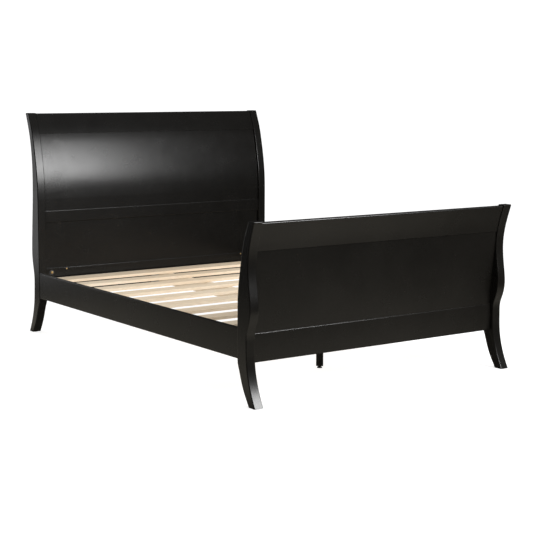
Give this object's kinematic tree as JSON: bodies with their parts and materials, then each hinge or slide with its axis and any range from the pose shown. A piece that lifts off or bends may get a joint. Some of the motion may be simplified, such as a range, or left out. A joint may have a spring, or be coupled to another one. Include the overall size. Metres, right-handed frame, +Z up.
{
  "type": "sleigh bed",
  "caption": "Black-lacquered wooden sleigh bed with S-curved posts, panelled headboard and footboard, side rails, pine slats and a centre beam on legs.",
  "frame": {"origin": "on the floor, under the middle of the bed's overall length and width", "axes": "+Z up, +Y towards the headboard, +X across the bed to the right as seen from the foot"},
  "size_m": [1.6, 2.348, 1.285],
  "materials": {
    "black_lacquer": "satin black lacquer over wood",
    "pine": "bare planed pine",
    "beech": "bare beech dowel",
    "brass": "brass plated, slightly dulled",
    "black_steel": "black oxide",
    "zinc_steel": "zinc plated",
    "grey_nylon": "moulded nylon",
    "black_plastic": "moulded black plastic"
  },
  "bodies": {
    "bed": {"beam_hanger_foot": "zinc_steel", "beam_hanger_head": "zinc_steel", "beam_hanger_screws": "zinc_steel", "centre_beam": "pine", "centre_leg_foot_end": "black_lacquer", "centre_leg_middle": "black_lacquer", "centre_leg_studs": "zinc_steel", "corner_block_bolts": "brass", "corner_block_nuts": "zinc_steel", "corner_block_washers": "black_steel", "footboard_bottom_rail": "black_lacquer", "footboard_dowels": "beech", "footboard_panel": "black_lacquer", "footboard_post_left": "black_lacquer", "footboard_post_right": "black_lacquer", "footboard_top_rail": "black_lacquer", "headboard_bottom_rail": "black_lacquer", "headboard_corner_block_left": "black_lacquer", "headboard_corner_block_right": "black_lacquer", "headboard_dowels": "beech", "headboard_lower_panel": "black_lacquer", "headboard_middle_rail": "black_lacquer", "headboard_panel_screws": "brass", "headboard_post_left": "black_lacquer", "headboard_post_right": "black_lacquer", "headboard_top_rail": "black_lacquer", "headboard_upper_panel": "black_lacquer", "hook_plate_screws": "zinc_steel", "ledger_screws": "zinc_steel", "leveller_inserts": "zinc_steel", "post_glides": "grey_nylon", "post_slot_plate_foot_left": "zinc_steel", "post_slot_plate_foot_right": "zinc_steel", "post_slot_plate_head_left": "zinc_steel", "post_slot_plate_head_right": "zinc_steel", "rail_hook_plate_foot_left": "zinc_steel", "rail_hook_plate_foot_right": "zinc_steel", "rail_hook_plate_head_left": "zinc_steel", "rail_hook_plate_head_right": "zinc_steel", "side_rail_left": "black_lacquer", "side_rail_right": "black_lacquer", "slat_01": "pine", "slat_02": "pine", "slat_03": "pine", "slat_04": "pine", "slat_05": "pine", "slat_06": "pine", "slat_07": "pine", "slat_08": "pine", "slat_09": "pine", "slat_10": "pine", "slat_ledger_left": "pine", "slat_ledger_right": "pine", "slat_screws": "zinc_steel"},
    "leveller_foot_end": {"leveller_foot_end": "black_plastic"},
    "leveller_middle": {"leveller_middle": "black_plastic"}
  },
  "joints": [
    {"name": "leveller_foot_end_height", "type": "slide", "parent": "bed", "child": "leveller_foot_end", "axis": [0, 0, 1], "range_m": [0, 0.005]},
    {"name": "leveller_middle_height", "type": "slide", "parent": "bed", "child": "leveller_middle", "axis": [0, 0, 1], "range_m": [0, 0.005]}
  ]
}
